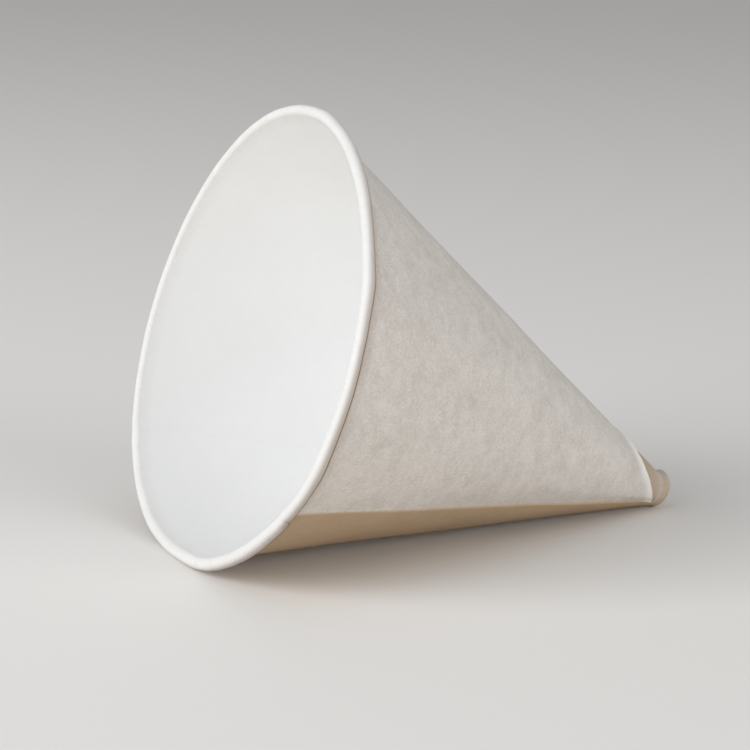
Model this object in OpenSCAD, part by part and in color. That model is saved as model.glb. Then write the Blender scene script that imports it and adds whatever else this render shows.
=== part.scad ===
/* [Mouth] */
// Diameter over the rolled rim, before the mouth goes out of round
mouth_d = 71.8; // [56:0.1:100]
// Outer radius of the rolled rim's section
curl_r = 0.88; // [0.8:0.01:1.6]
// Gap left between the rim's rolled-in edge and the wall
curl_gap = 0.1; // [0.05:0.01:0.2]
// Angle by which the mouth's plane leans from square to the axis
mouth_lean = 5.2; // [0:0.1:8]
// Direction in which the rim stands furthest out, round the axis from the top
mouth_lean_at = 37; // [0:1:359]
/* [Cone] */
// Slant length from the cone's geometric point to the middle of the rolled rim
slant_len = 96.9; // [75:0.1:130]
/* [Wound sheet] */
// Thickness of the paper
sheet_t = 0.25; // [0.15:0.01:0.35]
// Direction of the sheet's outer free edge, round the axis from the top
seam_at = 124.5; // [0:0.5:359.5]
// Angle over which the sheet lies double
overlap = 111; // [30:1:150]
// Angle in which the single sheet sinks by its thickness to slip under that edge
settle = 16; // [8:1:30]
/* [Out of round] */
// Push of the oval out from a true circle, at the rim
oval_by = 0.96; // [0:0.01:2]
// Direction of the oval's long way
oval_at = 102; // [0:1:359]
// Push of a three-sided form, at the rim
three_by = 0.34; // [0:0.01:1]
// Direction of one of its three corners
three_at = 108; // [0:1:359]
// Push of a four-sided form, at the rim
four_by = 0.19; // [0:0.01:1]
// Direction of one of its four corners
four_at = 132; // [0:1:359]
/* [Wound point] */
// Distance along the axis from the geometric point to the cut end
tip_cut = 6.5; // [4:0.1:9]
// Length of the flared lip at the cut end
lip_len = 1.8; // [1:0.1:3]
// Height of that lip over the cone where it is least
lip_low = 0.3; // [0.1:0.01:0.6]
// Height of the ear that the lip has on one side
ear_rise = 0.9; // [0.1:0.01:1.4]
// Direction of that ear
ear_at = 12; // [0:1:359]
// Depth of the hollow in the cut end
tip_hollow = 0.8; // [0.3:0.1:1.5]
// Thickness of the closed fold behind that hollow
tip_fold = 1; // [0.6:0.1:2]
// Least bare length between the lip and the outer wrap's cut edge
wrap_gap = 0.4; // [0.2:0.1:3]
// How far the outer wrap's cut edge swings to each side of its middle
wrap_swing = 5.9; // [0:0.1:8]
// Direction in which that cut edge lies furthest up the cone
wrap_far_at = 332; // [0:1:359]
// Length over which the outer wrap flares at its cut edge
flare_len = 4; // [2:0.1:6]
// Height of that flare where it is greatest
flare_high = 0.34; // [0.1:0.01:0.4]
// Height of that flare where it is least, under the point
flare_low = 0.1; // [0.05:0.01:0.4]
// Direction in which that flare is greatest
flare_at = 20; // [0:1:359]
/* [Hidden] */
// Angle between the generators of the mesh round the cone
facet_angle = 3.75;
// Width of the slope that stands for a sheet's square edge, in degrees
edge_angle = 0.4;
// Number of steps round the hollow side and the round side of the rolled rim
curl_in_steps = 11;
curl_out_steps = 15;
// Number of facets along the wall
wall_steps = 3;
// Thickness of the wall at the lip, and where two wraps lie on each other in the point
lip_t = 1.5 * sheet_t;
wound_t = 2 * sheet_t;
// Share of the lip's length at which it starts to fall, then the share and height of a point on that fall
lip_crest = 0.4;
lip_fall = [0.75, 0.3];
// Shares of the flare's length at which its face bends, and the power by which it falls
flare_bends = [0, 0.15, 0.4];
flare_power = 3;
// Slant lengths past the outer wrap's edge at which the second wrap inside the cup is full and has ended
inner_full = 2;
inner_end = 8;
// Height of the closed fold's bowl, of its flat middle, and the share of the width that is flat
bowl_high = 0.8;
bowl_low = 0.2;
bowl_flat = 0.5;
// Axial place of the bowl's middle
floor_at = tip_cut + tip_hollow + tip_fold;
// Radius of the hollow side of the rolled rim where the sheet is single
curl_hollow = curl_r - sheet_t;
// Half angle of the outer face of the wall, from the width over the rolled rim
half_angle = asin((mouth_d / 2 - curl_r) / norm([slant_len, curl_hollow]))
    - atan(curl_hollow / slant_len);
// Slant distance from the geometric point to the cut end
tip_slant = tip_cut / cos(half_angle);
// Directions at which the doubled stretch and the single stretch end
inner_edge_at = seam_at + overlap;
sinking_at = seam_at + 360 - settle;

function ease(x) = (1 - cos(180 * x)) / 2;
function near(a, at) = (1 + cos(a - at)) / 2;
function mix(from, to, share) = from + (to - from) * share;
function spread(from, to, steps) = [for (i = [0:steps]) mix(from, to, i / steps)];
function steps_in(angle) = ceil(angle / facet_angle);

// Directions of the generators: doubled stretch, single stretch, stretch that sinks to the seam
doubled = spread(seam_at + edge_angle / 2, inner_edge_at - edge_angle / 2, steps_in(overlap));
single = spread(inner_edge_at + edge_angle / 2, sinking_at, steps_in(sinking_at - inner_edge_at));
sinking_steps = steps_in(settle);
sinking = spread(sinking_at, seam_at + 360 - edge_angle / 2, sinking_steps);
directions = concat(doubled, single, [for (i = [1:sinking_steps]) sinking[i]]);

// Layers of the wall, and the heights of its outer and inner faces over the nominal cone
function layers(a) = a < inner_edge_at ? 2 : 1;
function thickness(a) = sheet_t * layers(a);
function outer_lift(a) = a < sinking_at ? 0 : -sheet_t * ease((a - sinking_at) / settle);
function inner_lift(a) = outer_lift(a) - thickness(a);

// Half angle of the wall and slant length to the rim, in one direction
function push(a) = oval_by * cos(2 * (a - oval_at)) + three_by * cos(3 * (a - three_at))
    + four_by * cos(4 * (a - four_at));
function wall_angle(a) = half_angle + asin(push(a) / slant_len);
function rim_slant(a) = slant_len / (1 - tan(mouth_lean) * tan(half_angle) * cos(a - mouth_lean_at));
function wrap_slant(a) = tip_slant + lip_len + wrap_gap + 2 * wrap_swing * near(a, wrap_far_at);

// Point of the section at a slant distance and a height over the wall, as [along the axis, from the axis]
function on_wall(a, slant, lift) = [
    slant * cos(wall_angle(a)) - lift * sin(wall_angle(a)),
    slant * sin(wall_angle(a)) + lift * cos(wall_angle(a))
];

// Rolled rim: the sheet turns outward and down until its edge nearly meets the wall
function hollow_r(a) = curl_hollow - sheet_t * (layers(a) - 1) / 2;
function round_r(a) = hollow_r(a) + thickness(a);
function curl_turn(a) = 360 - acos((hollow_r(a) - curl_gap) / round_r(a));
function curl_lift(a) = outer_lift(a) + hollow_r(a);
// The roll's top stays level over the seam, so that the outer sheet's edge stands proud only outside
function curl_slant(a) = rim_slant(a) + curl_r - round_r(a);
function on_curl(a, r, turn) = on_wall(a, curl_slant(a) + r * sin(turn), curl_lift(a) - r * cos(turn));

// Wound point: hollow end, flared lip, inner wrap, then the outer wrap's flared cut edge
function lip_rise(a) = mix(lip_low, ear_rise, pow(near(a, ear_at), 2));
function flare_rise(a) = mix(flare_low, flare_high, sqrt(near(a, flare_at)));
function tip_r(a) = tip_cut * tan(wall_angle(a));
function on_lip(a, share, height) = on_wall(a, tip_slant + lip_len * share, lip_rise(a) * height);
function on_flare(a, share) = on_wall(
    a,
    wrap_slant(a) + flare_len * share,
    outer_lift(a) + flare_rise(a) * pow(1 - share, flare_power)
);
function point_rows(a) = concat(
    [
        [tip_cut + tip_hollow, tip_r(a) - wound_t],
        [tip_cut, tip_r(a) + lip_rise(a) - lip_t],
        [tip_cut, tip_r(a) + lip_rise(a)],
        on_lip(a, lip_crest, 1),
        on_lip(a, lip_fall[0], lip_fall[1]),
        on_lip(a, 1, 0),
        on_wall(a, wrap_slant(a), outer_lift(a))
    ],
    [for (share = flare_bends) on_flare(a, share)]
);
function outer_rows(a) = [
    for (share = spread(0, 1, wall_steps))
        if (share < 1) on_wall(a, mix(wrap_slant(a) + flare_len, rim_slant(a), share), outer_lift(a))
];
function curl_rows(a) = concat(
    [for (turn = spread(0, curl_turn(a), curl_in_steps)) on_curl(a, hollow_r(a), turn)],
    [for (turn = spread(curl_turn(a), 0, curl_out_steps)) on_curl(a, round_r(a), turn)]
);
function inner_rows(a) = [
    for (share = spread(1, 0, wall_steps))
        if (share < 1) on_wall(a, mix(wrap_slant(a) + inner_end, rim_slant(a), share), inner_lift(a))
];

// Inside of the point, where the second wrap doubles the wall down to the closed fold
function bowl_r(a) = (floor_at + bowl_high) * tan(wall_angle(a)) - wound_t;
function floor_rows(a) = [
    on_wall(a, wrap_slant(a) + inner_full, inner_lift(a) - sheet_t),
    [floor_at + bowl_high, bowl_r(a)],
    [floor_at + bowl_low, bowl_r(a) * bowl_flat]
];
function section(a) = concat(point_rows(a), outer_rows(a), curl_rows(a), inner_rows(a), floor_rows(a));

// Slope of the axis as the cup lies: a line under the rim's roll and under the point at the bottom
function seat_angle(from, to, r) =
    atan2(to[1] - from[1], to[0] - from[0]) + asin(r / norm(to - from));
bottom = 180;
rim_centre = on_wall(bottom, curl_slant(bottom), curl_lift(bottom));
lip_seat = seat_angle(on_lip(bottom, lip_crest, 1), rim_centre, round_r(bottom));
wrap_seat = seat_angle(on_flare(bottom, 0), rim_centre, round_r(bottom));
lie_angle = min(lip_seat, wrap_seat);

// Place in space of a point of the section: mouth to -X and up, point to +X, 90 degrees to -Y
function placed(p, a) = [
    -p[0] * cos(lie_angle) + p[1] * cos(a) * sin(lie_angle),
    -p[1] * sin(a),
    p[0] * sin(lie_angle) + p[1] * cos(a) * cos(lie_angle)
];

// One closed wall: the section is lofted round the axis and ends in a vertex on it at each side
module paper_cone() {
    sections = [for (a = directions) section(a)];
    rows = len(sections[0]);
    columns = len(directions);
    hollow_end = placed([tip_cut + tip_hollow, 0], 0);
    floor_end = placed([floor_at, 0], 0);
    skin = [for (c = [0:columns - 1]) for (p = sections[c]) placed(p, directions[c])];
    points = concat(skin, [hollow_end, floor_end]);
    low = [for (i = [0:2]) min([for (p = points) p[i]])];
    high = [for (i = [0:2]) max([for (p = points) p[i]])];
    bands = [
        for (c = [0:columns - 1])
            let (here = c * rows, next = (c + 1) % columns * rows)
                for (r = [0:rows - 2])
                    for (half = [0, 1])
                        half == 0
                            ? [here + r, next + r, next + r + 1]
                            : [here + r, next + r + 1, here + r + 1]
    ];
    ends = [
        for (c = [0:columns - 1])
            let (here = c * rows, next = (c + 1) % columns * rows)
                for (end = [0, 1])
                    end == 0
                        ? [columns * rows, next, here]
                        : [columns * rows + 1, here + rows - 1, next + rows - 1]
    ];
    color("whitesmoke")
        translate([-(low[0] + high[0]) / 2, -(low[1] + high[1]) / 2, -low[2]])
            polyhedron(points = points, faces = concat(bands, ends), convexity = 6);
}

paper_cone();
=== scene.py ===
import bpy
import numpy as np
from mathutils import Matrix


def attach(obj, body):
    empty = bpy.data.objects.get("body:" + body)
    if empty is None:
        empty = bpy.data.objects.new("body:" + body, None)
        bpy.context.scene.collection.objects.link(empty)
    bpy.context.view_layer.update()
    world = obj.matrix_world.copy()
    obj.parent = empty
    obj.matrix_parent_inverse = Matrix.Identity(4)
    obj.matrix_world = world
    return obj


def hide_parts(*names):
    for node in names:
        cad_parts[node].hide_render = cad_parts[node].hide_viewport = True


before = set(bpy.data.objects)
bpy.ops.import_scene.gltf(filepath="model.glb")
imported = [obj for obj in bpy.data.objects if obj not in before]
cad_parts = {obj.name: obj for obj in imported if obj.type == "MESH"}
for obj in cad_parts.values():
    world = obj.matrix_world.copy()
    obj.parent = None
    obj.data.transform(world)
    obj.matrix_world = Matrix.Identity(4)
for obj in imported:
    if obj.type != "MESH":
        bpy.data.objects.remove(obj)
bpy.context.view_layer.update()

# The wound sheet
# The cup is one sheet of white paper, wound into a cone and glued where it overlaps, so that it lies
# double along its lower side. The outer free edge is the seam on the near side. The inner free edge lies
# underneath.
MM = 0.001  # the cup's sizes are in millimetres, and its directions in radians unless degrees are named
SHEET = 0.25  # thickness of the paper
MOUTH = 71.8  # across the rolled rim
SLANT = 96.9  # from the cone's geometric point to the middle of the roll
ROLL = 0.88  # outer radius of the roll where the sheet is single
# Half angle of the outer face: with it the middle of the roll goes round at half of MOUTH less ROLL.
HALF = np.arcsin((MOUTH / 2 - ROLL) / np.hypot(SLANT, ROLL - SHEET)) - np.arctan((ROLL - SHEET) / SLANT)
SEAM_AT = np.radians(124.5)  # directions go round the axis from the top towards the viewer
INNER_EDGE_AT = np.radians(235.5)
SINK = np.radians(16)  # in which the single sheet sinks to slip under the outer free edge
FEATHER, INNER_FEATHER = np.radians([1.2, 3.0])  # slopes that stand for the outer and inner free edges
LEAN, LEAN_AT = np.radians([5.2, 37])  # of the mouth from square to the axis, where it reaches farthest
OUT_OF_ROUND = ((2, 0.96, 102), (3, 0.34, 108), (4, 0.19, 132))  # lobes, push at the rim, where in degrees
WALL_WAVES = ((0.06, 3, 61, 0.3), (0.05, 5, -38, 1.9), (0.03, 8, 27, 4.1), (0.018, 13, -19, 2.6))
WAVES_FROM, WAVES_GROW, WAVES_FADE = 24, 16, 12  # slant where they start, lengths they grow and fade in
RIM_BENDS = ((0.2, 20, 18), (0.12, 10, 6), (0.16, 67.5, 6), (0.14, 80, 26), (0.4, 117, 10), (0.18, 147, 7),
             (0.5, 161, 9.5), (-0.38, 250, 42), (0.2, 314, 4))  # push out, where and how wide in degrees
BEND_FADE = 5  # power of the slant length with which the bends wear off downward


def ease(x):
    """A smooth climb from 0 to 1: half a cosine wave."""
    return (1 - np.cos(np.pi * np.clip(x, 0, 1))) / 2


def near(turn, at):
    """1 in one direction, 0 in the opposite one, and a cosine between."""
    return (1 + np.cos(turn - at)) / 2


def ripple(turn, slant, waves):
    """A sum of sine waves, each given as height, waves round the cone, length along it and phase."""
    return sum(h * np.sin(n * turn + 2 * np.pi * slant / length + phase) for h, n, length, phase in waves)


def bumps(turn, places):
    """A sum of bell curves round the cone, each given as push, and direction and width in degrees."""
    return sum(push * np.exp(-(((np.degrees(turn) - at + 180) % 360 - 180) / width) ** 2)
               for push, at, width in places)


def cone_angle(turn):
    """Half angle of the outer face in each direction: the true cone's, plus the push out of round."""
    push = sum(by * np.cos(lobes * (turn - np.radians(at))) for lobes, by, at in OUT_OF_ROUND)
    return HALF + np.arcsin(push / SLANT)


def rim_slant(turn):
    """Slant length to the rim, on a mouth whose plane leans from square to the axis."""
    return SLANT / (1 - np.tan(LEAN) * np.tan(HALF) * np.cos(turn - LEAN_AT))


def sheet_layers(turn, feather):
    """Layers of the wall: 2, easing to 1 at the inner free edge, and back to 2 just before the seam."""
    past_inner = ease((turn - INNER_EDGE_AT) / INNER_FEATHER + 0.5)
    return 2 - past_inner + ease((turn - SEAM_AT - 2 * np.pi + feather) / feather)


def outer_lift(turn, layers):
    """Height of the outer face over the cone: 0, easing one sheet down where it slips under the seam."""
    return -SHEET * ease((turn - SEAM_AT - 2 * np.pi + SINK) / SINK) * (2 - layers)


def dents(turn, slant):
    """Unevenness of the wall: waves that fade at roll and point, and rim bends that wear off downward."""
    fade = ease((slant - WAVES_FROM) / WAVES_GROW) * ease((rim_slant(turn) - slant) / WAVES_FADE)
    worn = np.clip(slant / SLANT, 0, 1) ** BEND_FADE
    return ripple(turn, slant, WALL_WAVES) * fade + bumps(turn, RIM_BENDS) * worn


def on_wall(turn, slant, lift):
    """A point (along the axis, out from it) at a slant length and at a height square to the wall."""
    angle = cone_angle(turn)
    lift = lift + dents(turn, slant)
    along = slant * np.cos(angle) - lift * np.sin(angle)
    return np.stack([along, slant * np.sin(angle) + lift * np.cos(angle)], -1)


def between(first, last, steps, with_first=True, with_last=True):
    """A column of even steps from first to last, with or without either end."""
    column = np.linspace(first, last, steps + 1)[:, None]
    return column[0 if with_first else 1:len(column) if with_last else -1]


# The rolled rim
# The sheet's top edge is rolled outward into a hollow bead, which stiffens the mouth. The roll is one
# sheet thicker where the sheet lies double, and its free edge stops just off the wall.
ROLL_GAP = 0.1  # between the free edge and the wall
ROLL_FEATHER = np.radians(0.25)  # slope of the outer free edge on the roll
ROLL_WAVES = ((0.025, 11, 1, 0.7), (0.022, 23, 1, 3.0), (0.01, 57, 1, 5.0), (0.004, 97, 1, 1.0))
ROLL_BULGES = ((0.17, 67.5, 4), (0.13, 109.5, 4))  # push of the roll alone, where and how wide in degrees
ROLL_IN, ROLL_OUT = between(0, 1, 17), between(1, 0, 36)  # shares of the curl, inside and back outside


def roll_rows(turn, layers, share, outer):
    """One side of the roll: circles about its middle, until the sheet's free edge nears the wall.

    The radius is the hollow's, or the sheet's layers more outside. Waves and bulges push it out, by the
    squared sine of half the angle round the roll, so not at all where the roll starts.
    """
    hollow = ROLL - SHEET - SHEET * (layers - 1) / 2
    outside = hollow + SHEET * layers
    push = ripple(turn, 0, ROLL_WAVES) + bumps(turn, ROLL_BULGES)
    angle = (2 * np.pi - np.arccos((hollow - ROLL_GAP) / outside)) * share
    radius = (outside if outer else hollow) + push * np.sin(angle / 2) ** 2
    slant = rim_slant(turn) + ROLL - outside + radius * np.sin(angle)
    return on_wall(turn, slant, outer_lift(turn, layers) + hollow - radius * np.cos(angle))


# The outer wrap
# The sheet's outer turn is cut off obliquely before the point. Its white cut edge isn't glued down, so it
# flares a little off the stub and leaves a narrow gap under it.
CUT = 6.5  # from the geometric point to the cup's cut end, along the axis
LIP = 1.8  # length of the flared lip at that end
BARE_LEAST, BARE_MORE, BARE_MOST_AT = 0.4, 11.8, np.radians(332)  # length of stub that stays bare
TORN = ((0.05, 7, 1, 0.4), (0.03, 17, 1, 2.0), (0.02, 41, 1, 1.1))  # wobble of the cut edge
FLARE, FLARE_HIGH, FLARE_LOW, FLARE_AT = 4.0, 0.34, 0.1, np.radians(20)  # length, heights, where highest
FLARE_WAVES = ((0.02, 6, 1, 0.2), (0.012, 15, 1, 1.0))
CUT_EDGE, CUT_ROUND = 0.2, 0.04  # thickness of the cut edge, and how far it bulges
UNDERCUT, LEAST_GAP = 0.6, 0.02  # depth of the gap under the edge, and its least height
NEAR_RIM = 0.03  # share of the wall by the rim that has closer rows
GAP_STEPS, EDGE_STEPS, FLARE_STEPS, WALL_STEPS, TOP_STEPS = 3, 4, 14, 44, 12  # of the mesh along the wall
FLARE_SPACING = 1.5  # power that crowds the flare's rows at the cut edge


def wrap_slant(turn):
    """Slant length at which the outer wrap is cut: a cosine round the point, with a torn-paper wobble."""
    bare = BARE_LEAST + BARE_MORE * near(turn, BARE_MOST_AT)
    return CUT / np.cos(HALF) + LIP + bare + ripple(turn, 0, TORN)


def wrap_rows(turn, lift):
    """The outer wrap: the gap under its cut edge, the edge, the flare, and the wall up to the rim.

    The edge bulges by half a sine wave. The flare's height is the root of a cosine round the point, and
    falls to the wall with the cube of the length that is left.
    """
    high = FLARE_LOW + (FLARE_HIGH - FLARE_LOW) * np.sqrt(near(turn, FLARE_AT))
    high = high + ripple(turn, 0, FLARE_WAVES)
    low = np.maximum(high - CUT_EDGE, LEAST_GAP)
    foot = wrap_slant(turn)
    gap = between(0, 1, GAP_STEPS)
    under = on_wall(turn, foot + UNDERCUT * (1 - gap), lift + low * gap)
    edge = between(0, 1, EDGE_STEPS, with_first=False)
    face = on_wall(turn, foot - CUT_ROUND * np.sin(np.pi * edge), lift + low + (high - low) * edge)
    flare = between(0, 1, FLARE_STEPS, with_first=False) ** FLARE_SPACING
    spread = on_wall(turn, foot + FLARE * flare, lift + high * (1 - flare) ** 3)
    wall = between(0, 1, WALL_STEPS, with_first=False, with_last=False) * (1 - NEAR_RIM)
    top = 1 - between(1, 0, TOP_STEPS) * NEAR_RIM
    start = foot + FLARE
    up = on_wall(turn, start + (rim_slant(turn) - start) * np.concatenate([wall, top]), lift)
    return np.concatenate([under, face, spread, up])


# The point
# The sheet's lower corner is wound on into a tight bare stub and cut off square. The wraps show as a
# spiral in its hollow end. Its lip is left flared with a low ear, and the pressed fold behind the hollow
# closes the cup.
LIP_LOW, LIP_EAR, LIP_EAR_AT = 0.3, 0.9, np.radians(12)  # height of the lip, and of its ear
LIP_WAVES = ((0.03, 5, 1, 1.0), (0.02, 9, 1, 2.2), (0.012, 21, 1, 0.4))
LIP_SHEET, LIP_ROUND = 1.5 * SHEET, 0.12  # thickness of the lip, and how far its crest stands out
LIP_FLAT = 0.35  # share of the lip's length before it falls to the stub
LIP_CREASE = 0.02  # height of the slanting creases on it
HOLLOW, HOLLOW_BOW = 0.8, 0.25  # depth of the hollow, and share of it by which its floor is bowed
HOLLOW_START, HOLLOW_EDGE = 0.12, 1.2  # its first row as a share, and its wall in thicknesses of the lip
WINDINGS, WINDING_STEP = 3.2, 0.16  # turns of the spiral, and the height of its step
HOLLOW_STEPS, CREST_STEPS, LIP_STEPS, STUB_STEPS = 9, 6, 9, 8  # of the mesh from the axis outward
STUB_SPACING = 1.6  # power that crowds the stub's rows at the wrap


def point_rows(turn, lift):
    """The wound point from the axis outward: hollow end, the lip's crest, its outer side, the bare stub.

    The hollow's floor is a parabola with a spiral step. The crest is half an ellipse. The lip falls to the
    stub along half a cosine wave, with creases of a sine that slants round it.
    """
    angle = cone_angle(turn)
    end_r = CUT * np.tan(angle)
    rise = LIP_LOW + (LIP_EAR - LIP_LOW) * near(turn, LIP_EAR_AT) ** 2 + ripple(turn, 0, LIP_WAVES)
    inward = between(HOLLOW_START, 1, HOLLOW_STEPS)
    step = WINDING_STEP * np.mod(inward * WINDINGS - turn / (2 * np.pi), 1) * inward
    hollow = np.stack([CUT + HOLLOW * (1 - HOLLOW_BOW * inward ** 2) - step,
                       inward * (end_r - HOLLOW_EDGE * LIP_SHEET)], -1)
    bend = np.pi * between(0, 1, CREST_STEPS)
    crest = np.stack([CUT - LIP_ROUND * np.sin(bend) + 0 * turn,
                      end_r + rise - LIP_SHEET * (1 + np.cos(bend)) / 2], -1)
    down = between(0, 1, LIP_STEPS, with_first=False)
    fall = 1 - ease((down - LIP_FLAT) / (1 - LIP_FLAT))
    start = CUT / np.cos(angle)
    side = on_wall(turn, start + LIP * down, rise * fall + LIP_CREASE * np.sin(9 * down + 2 * turn))
    share = 1 - between(1, 0, STUB_STEPS, with_first=False) ** STUB_SPACING
    start = start + LIP
    bare = on_wall(turn, start + (wrap_slant(turn) - start) * share, lift * share)
    return np.concatenate([hollow, crest, side, bare])


# The inner face
# The clean inner side of the same sheet, from the roll down to the pressed fold. Near the point the sheet
# lies double all round, and the face rounds into a small bowl on the fold.
FOLD, BOWL = 1.0, 0.8  # thickness of the fold behind the hollow, and depth of the bowl on it
DOUBLED_FROM = 8  # slant length past the outer wrap's edge at which the doubled stretch starts
DOUBLED_GROW = 1.6  # how many times faster it thickens than it runs down
INNER_STEPS, DOUBLED_STEPS, BOWL_STEPS, BOWL_LEAST = 34, 8, 7, 0.1


def inside_rows(turn, lift):
    """The inner face: straight down the wall, easing a sheet in near the point, then a parabolic bowl."""
    top = rim_slant(turn)
    foot = wrap_slant(turn) + DOUBLED_FROM
    wall = on_wall(turn, top + (foot - top) * between(0, 1, INNER_STEPS, with_first=False), lift)
    floor = CUT + HOLLOW + FOLD
    low = (floor + BOWL) / np.cos(cone_angle(turn))
    run = between(0, 1, DOUBLED_STEPS, with_first=False)
    neck = on_wall(turn, foot + (low - foot) * run, lift - SHEET * ease(run * DOUBLED_GROW))
    share = between(1, BOWL_LEAST, BOWL_STEPS, with_first=False)
    bowl = np.stack([floor + (neck[-1, :, 0] - floor) * share ** 2, neck[-1, :, 1] * share], -1)
    return np.concatenate([wall, neck, bowl])


# The cup as one surface
# The faces of the sheet follow each other in one closed skin: out of the hollow point, over the stub and
# the wrap's edge, up the wall, round both sides of the roll and down the inside.
COLUMNS = 448  # even ones, between those that crowd at the seam
AFTER_SEAM, EVEN_FROM = np.radians([0.05, 0.4]), 0.016
BEFORE_SEAM = np.radians([0.05, 0.25, 0.45, 0.7, 0.95, 1.2, 1.6])
TILT = np.radians(20.8238)  # of the axis, as the cup lies on its rim and its point
PLACE = (50.1317, 0.910765, 0.192701)  # of the geometric point in the part's frame
CREASE = np.radians(40)  # from which an edge is shaded sharp


def cup_directions():
    """Directions of the columns, once round from the seam, close together on both sides of it."""
    last = SEAM_AT + 2 * np.pi
    even = np.linspace(SEAM_AT + EVEN_FROM, last - BEFORE_SEAM[-1], COLUMNS)
    return np.concatenate([SEAM_AT + AFTER_SEAM, even, last - BEFORE_SEAM[-2::-1]])


def place(points, turn):
    """Turns (along, out) points and directions into the part's frame: mouth to -X and up, point to +X."""
    along, out = points[..., 0], points[..., 1]
    return np.stack([-along * np.cos(TILT) + out * np.cos(turn) * np.sin(TILT), -out * np.sin(turn),
                     along * np.sin(TILT) + out * np.cos(turn) * np.cos(TILT)], -1)


turn = cup_directions()
layers, roll_layers = sheet_layers(turn, FEATHER), sheet_layers(turn, ROLL_FEATHER)
lift = outer_lift(turn, layers)
rows = [point_rows(turn, lift),
        wrap_rows(turn, lift),
        roll_rows(turn, roll_layers, ROLL_IN, outer=False),
        roll_rows(turn, roll_layers, ROLL_OUT, outer=True),
        inside_rows(turn, lift - SHEET * layers)]
skin = np.concatenate(rows)
row_count, column_count = skin.shape[:2]
ends = np.array([[CUT + HOLLOW, 0], [CUT + HOLLOW + FOLD, 0]])
cup_points = np.concatenate([place(skin, turn).reshape(-1, 3), place(ends, 0.0)])
cup_points = (cup_points + np.array(PLACE)) * MM

here = np.arange(row_count * column_count).reshape(row_count, column_count)
after = np.roll(here, -1, 1)
walls = np.stack([here[:-1], after[:-1], after[1:], here[1:]], -1).reshape(-1, 4)
tip_end, cup_end = row_count * column_count, row_count * column_count + 1
tip_fan = np.stack([np.full(column_count, tip_end), after[0], here[0]], -1)
cup_fan = np.stack([np.full(column_count, cup_end), here[-1], after[-1]], -1)
cup_mesh = bpy.data.meshes.new("paper_cup")
cup_mesh.from_pydata(cup_points.tolist(), [], walls.tolist() + tip_fan.tolist() + cup_fan.tolist())
cup_mesh.shade_smooth()
cup_mesh.set_sharp_from_angle(angle=CREASE)
cup = bpy.data.objects.new("paper_cup", cup_mesh)
bpy.context.scene.collection.objects.link(cup)

# Tones of the paper
# The clean side shows on the roll and inside, and the white core on the wrap's cut face. Painted
# highlights lighten the flare along the wrap's cut edge and the top of the point's lip. Where the sheet
# lies double or is wound tight, less light comes through, and that is painted as a browner shade. Painted
# shade darkens the gap under the wrap's edge, the stub, the wall behind the roll, the low doubled side,
# the roll's hollow and free edge, and the roll's near side, with a dark line where it tucks in. All of
# these are shares from 0 to
# 1, kept on the mesh for the paper's colour.
CREST = slice(HOLLOW_STEPS + 1, HOLLOW_STEPS + CREST_STEPS + 2)  # rows of the point
LIP_SIDE = slice(CREST.stop, CREST.stop + LIP_STEPS)
STUB = slice(LIP_SIDE.stop, LIP_SIDE.stop + STUB_STEPS)
LIP_TOP, STUB_TOP = slice(CREST.start, LIP_SIDE.start + 3), slice(STUB.start, STUB.start + 3)
GAP = slice(0, GAP_STEPS + 1)  # rows of the outer wrap
CUT_FACE = slice(GAP.stop, GAP.stop + EDGE_STEPS)
# The roll shows the clean side and the cut face shows the white core; the lip's share is a painted
# highlight on its top.
ROLL_WHITE, LIP_HIGHLIGHT, CUT_WHITE = 0.74, 0.35, 0.35
# A painted highlight on the flare along the wrap's cut edge, which fades up the wall.
EDGE_HIGHLIGHT, EDGE_REACH = 0.9, 3  # along the cut edge, and how far up the wall it fades
SEAM_KEEPS, SEAM_EASE = 0.1, 1.6  # share of that white left past the seam, and degrees that it falls over
DOUBLE_TO, DOUBLE_EASE = 100, 20  # degrees past the seam where it comes back, and that it climbs over
# Shares of a painted shade on the wound point, for the light that doesn't come through it; the lip's top
# is left lighter, a painted highlight.
WOUND_SHADE, STUB_TOP_SHADE = 0.85, ((0.6,), (0.68,), (0.76,))
LIP_SHADE, LIP_TOP_SHADE, LIP_FOOT_SHADE = 0.95, 0.2, 0.55
TINT_WIDTH, TINT_LEAD, TINT_LEAD_AT_POINT = np.radians([1.0, 0.6, 1.5])  # the tone starts on the edge
# Shares of the painted shade: along the stub, in the gap under the wrap's edge, on the wall behind the
# roll, low on the doubled side, in the roll's hollow, at its free edge, and as a tan with a dark line on
# its near side.
STUB_SHADE = ((0.1,), (0.15,), (0.15,), (0.13,), (0.14,), (0.18,), (0.3,), (0.7,))
GAP_SHADE = ((1,), (1,), (0.9,), (0.6,))
BEHIND_ROLL_SHADE, BEHIND_TO, BEHIND_FADE = 0.8, 2.9, 1.3  # tone, depth below the rim, length it fades in
LOW_SHADE, LOW_FROM, LOW_GROW = 0.45, 25, 50  # on the doubled side, from this far below the rim
LOW_SIDE_TO, LOW_SIDE_EASE = 90, 30  # degrees past the seam where that side ends, and that it eases over
ROLL_HOLLOW_SHADE, ROLL_EDGE_SHADE, NEAR_SIDE = 0.8, 0.6, np.radians(100)
TAN_SHADE, SEAM_SHADE, SEAM_WIDTH = 0.55, 0.25, 1.5  # on the roll's near side, and at the seam, in degrees
TAN_FROM, LINE_FROM, TUCK_FROM, EDGE_FROM = 0.32, 0.55, 0.74, 0.88  # shares of the curl outside
TAN_EASE, LINE_EASE, TUCK_EASE = 0.22, 0.06, 0.1
TUCK_KEEPS = 0.5  # share of the tan tone left on the tucked side

wall_slant = np.linalg.norm(rows[1], axis=2)
below_rim = rim_slant(turn) - wall_slant
off_seam = np.mod(turn - SEAM_AT + np.pi, 2 * np.pi) - np.pi
past_seam = np.degrees(off_seam)


def blank_marks():
    """A zero for each point of each group of rows."""
    return [np.zeros(group.shape[:2]) for group in rows]


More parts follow.
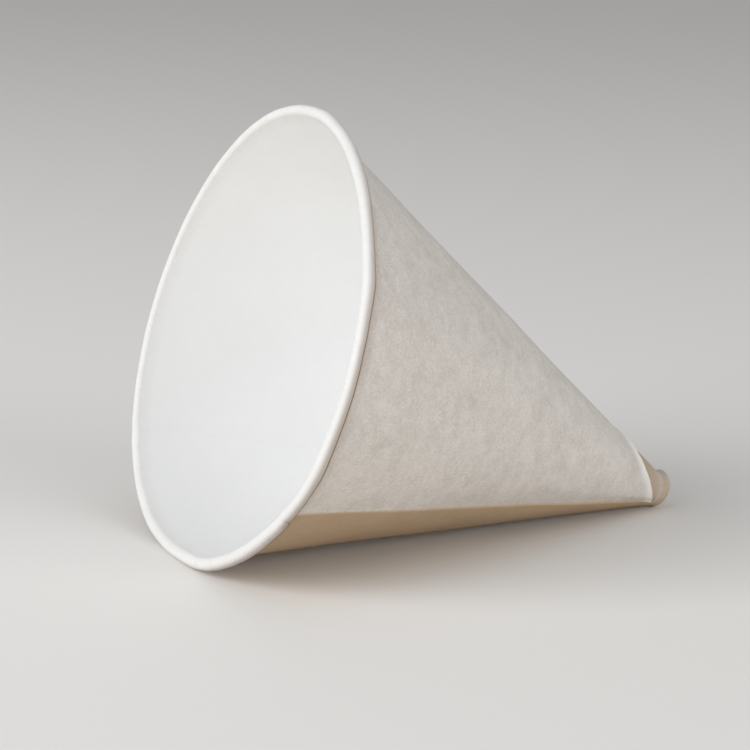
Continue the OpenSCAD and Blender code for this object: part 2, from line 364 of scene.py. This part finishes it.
def clean_side_and_highlight_marks():
    """How much of the clean side or the core shows, on the roll, inside and on the wrap's cut face, and
    how much painted highlight lies on the flare along the wrap's cut edge and on the top of the lip.

    The flare's painted highlight eases out up the wall, and is nearly left out over the doubled stretch
    past the seam. The lip's painted highlight is at its top, by a power of the cosine.
    """
    point, wrap, roll_in, roll_out, inner = blank_marks()
    point[LIP_TOP] = LIP_HIGHLIGHT * near(turn, 0.0) ** 6
    wrap += EDGE_HIGHLIGHT * (1 - ease((wall_slant - wrap_slant(turn)) / EDGE_REACH))
    wrap[CUT_FACE] = CUT_WHITE
    wrap[GAP] = 0
    doubled = ease(past_seam / SEAM_EASE + 1) * (1 - ease((past_seam - DOUBLE_TO) / DOUBLE_EASE))
    wrap *= 1 - (1 - SEAM_KEEPS) * doubled
    return np.concatenate([point, wrap, roll_in, roll_out + ROLL_WHITE, inner + 1])


def double_marks():
    """A painted shade for the light that comes through the single sheet but not where it lies double: 1
    from the seam to the inner free edge, less on the point.

    The lip is lightest at its top, a painted highlight by a high power of the cosine, and runs evenly into
    the stub's tone.
    """
    point, wrap, roll_in, roll_out, inner = blank_marks()
    point += WOUND_SHADE
    lip = LIP_SHADE - (LIP_SHADE - LIP_TOP_SHADE) * near(turn, 0.0) ** 8
    point[CREST] = lip
    point[LIP_SIDE] = lip + (LIP_FOOT_SHADE - lip) * between(0.1, 1, LIP_STEPS - 1)
    point[STUB_TOP] = STUB_TOP_SHADE
    lead = TINT_LEAD_AT_POINT + (TINT_LEAD - TINT_LEAD_AT_POINT) * wall_slant / SLANT
    wrap += ease((off_seam + lead) / TINT_WIDTH + 0.5)
    wrap -= ease((off_seam - INNER_EDGE_AT + SEAM_AT) / INNER_FEATHER + 0.5)
    return np.concatenate([point, wrap, roll_in, roll_out, inner])


def painted_shade_marks():
    """How much painted shade lies in a fold: by and under the wrap's edge, behind the roll and inside it,
    and low on the doubled side towards the point.

    On the roll's outer side it is a painted tan shade on the near side and at the seam, a painted dark
    line where that side tucks in towards the wall, and a painted shade at the free edge. Each eases in at
    its share of the curl.
    """
    point, wrap, roll_in, roll_out, inner = blank_marks()
    point[STUB] = STUB_SHADE
    wrap[GAP] = GAP_SHADE
    wrap += BEHIND_ROLL_SHADE * np.clip((BEHIND_TO - below_rim) / BEHIND_FADE, 0, 1)
    low_side = ease(past_seam / LOW_SIDE_EASE) * (1 - ease((past_seam - LOW_SIDE_TO) / LOW_SIDE_EASE))
    wrap += LOW_SHADE * low_side * ease((below_rim - LOW_FROM) / LOW_GROW)
    near_side = near(turn, NEAR_SIDE)
    tucked = ease((ROLL_OUT - TUCK_FROM) / TUCK_EASE)
    tan = TAN_SHADE * near_side ** 2 + SEAM_SHADE * np.exp(-(past_seam / SEAM_WIDTH) ** 2)
    tan = tan * ease((ROLL_OUT - TAN_FROM) / TAN_EASE) * (1 - (1 - TUCK_KEEPS) * tucked)
    line = near_side * ease((ROLL_OUT - LINE_FROM) / LINE_EASE) * (1 - tucked)
    edge = ROLL_EDGE_SHADE * ease((ROLL_OUT - EDGE_FROM) / (1 - EDGE_FROM))
    roll_out = np.maximum(np.maximum(tan, line), edge)
    return np.concatenate([point, wrap, roll_in + ROLL_HOLLOW_SHADE, roll_out, inner])


# Each mark's last two values are at the points that close the hollow end and the bowl.
for name, marks, at_ends in (("inside", clean_side_and_highlight_marks(), (0, 1)),
                             ("double", double_marks(), (WOUND_SHADE, 0)),
                             ("painted_shade", painted_shade_marks(), (0, 0))):
    values = np.append(marks, at_ends).astype(np.float32)
    cup_mesh.attributes.new(name, "FLOAT", "POINT").data.foreach_set("value", values)

# The paper
# White uncoated cup paper, pressed from pulp: cloudy where the fibres lie thick and thin, with flocs and
# single fibres on its outer face, and smoother on its inner face. The outer face is written greyer and
# darker than the inner face of the same sheet, which is mostly painted shade. The doubled colours are a
# browner painted shade, and the last colour is the dark brown of the painted shade in folds and on the
# roll.
OUTSIDE_LIGHT, OUTSIDE_DARK = (0.755, 0.73, 0.695, 1), (0.585, 0.555, 0.52, 1)
# A browner painted shade where the sheet lies double, for the light that comes through the single sheet
# only.
DOUBLE_SHADE_LIGHT, DOUBLE_SHADE_DARK = (0.53, 0.405, 0.27, 1), (0.42, 0.315, 0.205, 1)
INSIDE_LIGHT, INSIDE_DARK = (0.93, 0.935, 0.93, 1), (0.87, 0.875, 0.87, 1)
# Dark brown of the painted shade.
PAINTED_SHADE_BROWN = (0.26, 0.18, 0.12, 1)
CLOUDS, BROAD_CLOUDS, FLOCS, FIBRES, NAP = 420, 150, 1500, 900, 5200  # in waves per metre
OUTSIDE_CONTRAST, DOUBLE_SHADE_CONTRAST, INSIDE_CONTRAST = 1.5, 0.9, 0.5
ROUGHNESS, ROUGH_SPREAD, INSIDE_SMOOTHER = 0.74, 0.2, 0.16
RELIEF, RELIEF_STRENGTH, INSIDE_FLATTER = 0.06 * MM, 0.35, 0.7


class Tone:
    """A socket of a material; sums, differences and products of tones add Math nodes."""

    def __init__(self, finish, socket):
        self.finish, self.socket = finish, socket

    def math(self, operation, first, second):
        """A Math node on two tones or numbers."""
        return self.finish.node("ShaderNodeMath", {"operation": operation}, {0: first, 1: second})

    def __add__(self, other):
        return self.math("ADD", self, other)

    def __sub__(self, other):
        return self.math("SUBTRACT", self, other)

    def __rsub__(self, other):
        return self.math("SUBTRACT", other, self)

    def __mul__(self, other):
        return self.math("MULTIPLY", self, other)

    __radd__, __rmul__ = __add__, __mul__


class Finish:
    """The emptied node tree of a material or of the world, with one method that adds a node to it."""

    def __init__(self, of):
        of.use_nodes = True
        self.tree = of.node_tree
        self.tree.nodes.clear()

    def node(self, kind, settings, sockets, out=0):
        """Adds a node, sets its settings, fills its sockets with values or links, and gives one output."""
        made = self.tree.nodes.new(kind)
        for setting, value in settings.items():
            setattr(made, setting, value)
        for socket, value in sockets.items():
            if isinstance(value, Tone):
                self.tree.links.new(value.socket, made.inputs[socket])
            else:
                made.inputs[socket].default_value = value
        return Tone(self, made.outputs[out]) if len(made.outputs) else None

    def noise(self, scale, detail, rough, stretch=(1, 1, 1), turned=(0, 0, 0), distortion=0.0):
        """Noise over the piece, in waves per metre, stretched and turned, as a value about 0."""
        where = self.node("ShaderNodeTexCoord", {}, {}, "Object")
        where = self.node("ShaderNodeMapping", {}, {"Vector": where, "Rotation": turned, "Scale": stretch})
        return self.node("ShaderNodeTexNoise", {}, {"Vector": where, "Scale": scale, "Detail": detail,
                                                    "Roughness": rough, "Distortion": distortion}) - 0.5

    def mix(self, share, first, second):
        """A colour that goes from first to second with a share.

        Sockets 6 and 7 and output 2 are the Mix node's colours.
        """
        return self.node("ShaderNodeMix", {"data_type": "RGBA", "clamp_factor": True},
                         {0: share, 6: first, 7: second}, 2)


cup_paper = bpy.data.materials.new("cup_paper")
paper = Finish(cup_paper)
# This mark picks the clean inner colour, and carries the painted highlights on the flare and the lip.
inside = paper.node("ShaderNodeAttribute", {"attribute_name": "inside"}, {}, "Fac")
# This mark is the painted shade where the sheet lies double.
double = paper.node("ShaderNodeAttribute", {"attribute_name": "double"}, {}, "Fac")
# This mark is the painted shade of folds, gap, stub and roll.
painted_shade = paper.node("ShaderNodeAttribute", {"attribute_name": "painted_shade"}, {}, "Fac")
clouds = paper.noise(CLOUDS, 3, 0.55) * 0.9 + paper.noise(BROAD_CLOUDS, 2, 0.5) * 0.5
flocs = paper.noise(FLOCS, 3, 0.6, distortion=0.6)
fibres = paper.noise(FIBRES, 2, 0.6, (1, 4, 4), (0.3, 0.2, 0.5))
fibres = fibres + paper.noise(FIBRES, 2, 0.6, (4, 1, 4), (0.4, 0.1, 1.3))
grain = clouds * 0.9 + flocs * 0.65 + fibres * 0.8
outside_colour = paper.mix(0.5 + grain * OUTSIDE_CONTRAST, OUTSIDE_DARK, OUTSIDE_LIGHT)
double_colour = paper.mix(0.5 + grain * DOUBLE_SHADE_CONTRAST, DOUBLE_SHADE_DARK, DOUBLE_SHADE_LIGHT)
inside_colour = paper.mix(0.5 + grain * INSIDE_CONTRAST, INSIDE_DARK, INSIDE_LIGHT)
colour = paper.mix(inside, paper.mix(double, outside_colour, double_colour), inside_colour)
# The painted shade goes over everything in dark brown.
colour = paper.mix(painted_shade, colour, PAINTED_SHADE_BROWN)
relief = (flocs * 0.5 + fibres * 0.6 + paper.noise(NAP, 2, 0.6) * 0.25) * (1 - inside * INSIDE_FLATTER)
bump = paper.node("ShaderNodeBump", {}, {
    "Strength": RELIEF_STRENGTH, "Distance": RELIEF, "Height": relief})
rough = ROUGHNESS + flocs * ROUGH_SPREAD - inside * INSIDE_SMOOTHER
shader = paper.node("ShaderNodeBsdfPrincipled", {}, {
    "Base Color": colour, "Roughness": rough, "Normal": bump, "IOR": 1.45})
paper.node("ShaderNodeOutputMaterial", {}, {"Surface": shader})
cup_mesh.materials.append(cup_paper)
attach(cup, "root")
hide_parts("paper_cone")

# The floor
# A plain pale matt board, far wider than the view, which only carries the cup. The light that it throws
# back at the cup is a little warmer than its own colour. It is darker where a lamp's light pools on it.
FLOOR_HALF = 9.0
PALE, WARM, DIM = (0.93, 0.915, 0.89, 1), (0.74, 0.67, 0.60, 1), (0.324, 0.319, 0.31, 1)
POOLS = (((-0.95, -0.1, 0), 0.8), ((0.57, -1.15, 0), 0.7))  # middle of a pool, and how far it reaches
floor_mesh = bpy.data.meshes.new("floor")
floor_corners = [(-FLOOR_HALF, -FLOOR_HALF, 0), (FLOOR_HALF, -FLOOR_HALF, 0),
                 (FLOOR_HALF, FLOOR_HALF, 0), (-FLOOR_HALF, FLOOR_HALF, 0)]
floor_mesh.from_pydata(floor_corners, [], [(0, 1, 2, 3)])
floor = bpy.data.objects.new("floor", floor_mesh)
bpy.context.scene.collection.objects.link(floor)
pale_board = bpy.data.materials.new("pale_board")
board = Finish(pale_board)
seen = board.node("ShaderNodeLightPath", {}, {}, "Is Camera Ray")
where = board.node("ShaderNodeTexCoord", {}, {}, "Object")
pale = PALE
for middle, reach in POOLS:
    off = board.node("ShaderNodeVectorMath", {"operation": "DISTANCE"}, {0: where, 1: middle}, "Value")
    share = board.node("ShaderNodeMapRange", {"interpolation_type": "SMOOTHSTEP"},
                       {"Value": off, "From Max": reach, "To Min": 1.0, "To Max": 0.0})
    pale = board.mix(share, pale, DIM)
as_lit = board.node("ShaderNodeBsdfPrincipled", {}, {"Base Color": WARM, "Roughness": 0.6})
as_seen = board.node("ShaderNodeBsdfDiffuse", {}, {"Color": pale})
both = board.node("ShaderNodeMixShader", {}, {0: seen, 1: as_lit, 2: as_seen})
board.node("ShaderNodeOutputMaterial", {}, {"Surface": both})
floor_mesh.materials.append(pale_board)

# Light
# Soft studio light: a large lamp on the left looks into the mouth, a wider, softer one fills in from the
# front right, and the pale room adds a little from all round.
CUP_MIDDLE = (0, 0, 0.035)
ROOM_COLOUR = (0.98, 0.98, 0.985, 1)
ROOM_LIGHT, ROOM_SEEN = 0.38, 0.75  # strength as light, and as the camera sees it


def axes_at(side, up, back, at):
    """The matrix that points an object's own x, y and z along side, up and back, at a place."""
    return Matrix([[side[i], up[i], back[i], at[i]] for i in range(3)] + [[0, 0, 0, 1]])


def soft_lamp(name, at, size, watts, colour):
    """A square area lamp at a place, aimed at the middle of the cup."""
    lamp = bpy.data.lights.new(name, "AREA")
    lamp.shape, lamp.size, lamp.energy, lamp.color = "SQUARE", size, watts, colour
    made = bpy.data.objects.new(name, lamp)
    back = np.array(at) - np.array(CUP_MIDDLE)
    back = back / np.linalg.norm(back)
    side = np.cross([0, 0, 1], back)
    side = side / np.linalg.norm(side)
    made.matrix_world = axes_at(side, np.cross(back, side), back, at)
    bpy.context.scene.collection.objects.link(made)


soft_lamp("left_lamp", (-1.05, -0.12, 0.5), 0.7, 9.4, (0.97, 0.985, 1.0))
soft_lamp("front_lamp", (0.6, -1.25, 0.22), 0.9, 10.4, (1.0, 0.985, 0.97))
room_world = bpy.data.worlds.new("room")
bpy.context.scene.world = room_world
room = Finish(room_world)
seen = room.node("ShaderNodeLightPath", {}, {}, "Is Camera Ray")
strength = seen * (ROOM_SEEN - ROOM_LIGHT) + ROOM_LIGHT
sky = room.node("ShaderNodeBackground", {}, {"Color": ROOM_COLOUR, "Strength": strength})
room.node("ShaderNodeOutputWorld", {}, {"Surface": sky})

# Camera
# Where the photograph was taken from: a long lens, low over the floor and a little to the left, which
# looks slightly down into the mouth.
LENS, SENSOR = 111.01, 36  # in millimetres
NEAREST, FARTHEST = 0.01, 40
SPOT = (-0.183232, -0.30312, 0.09745)
YAW, PITCH, ROLL_OF_VIEW = np.radians([29.512, -11.611, 2.518])
forward = np.array([np.sin(YAW) * np.cos(PITCH), np.cos(YAW) * np.cos(PITCH), np.sin(PITCH)])
level = np.array([np.cos(YAW), -np.sin(YAW), 0])
upright = np.cross(level, forward)
right = np.cos(ROLL_OF_VIEW) * level + np.sin(ROLL_OF_VIEW) * upright
up = np.cos(ROLL_OF_VIEW) * upright - np.sin(ROLL_OF_VIEW) * level
camera_data = bpy.data.cameras.new("view")
camera_data.lens, camera_data.sensor_width = LENS, SENSOR
camera_data.clip_start, camera_data.clip_end = NEAREST, FARTHEST
camera = bpy.data.objects.new("view", camera_data)
camera.matrix_world = axes_at(right, up, -forward, SPOT)
bpy.context.scene.collection.objects.link(camera)
bpy.context.scene.camera = camera
bpy.context.scene.view_settings.view_transform = "Standard"
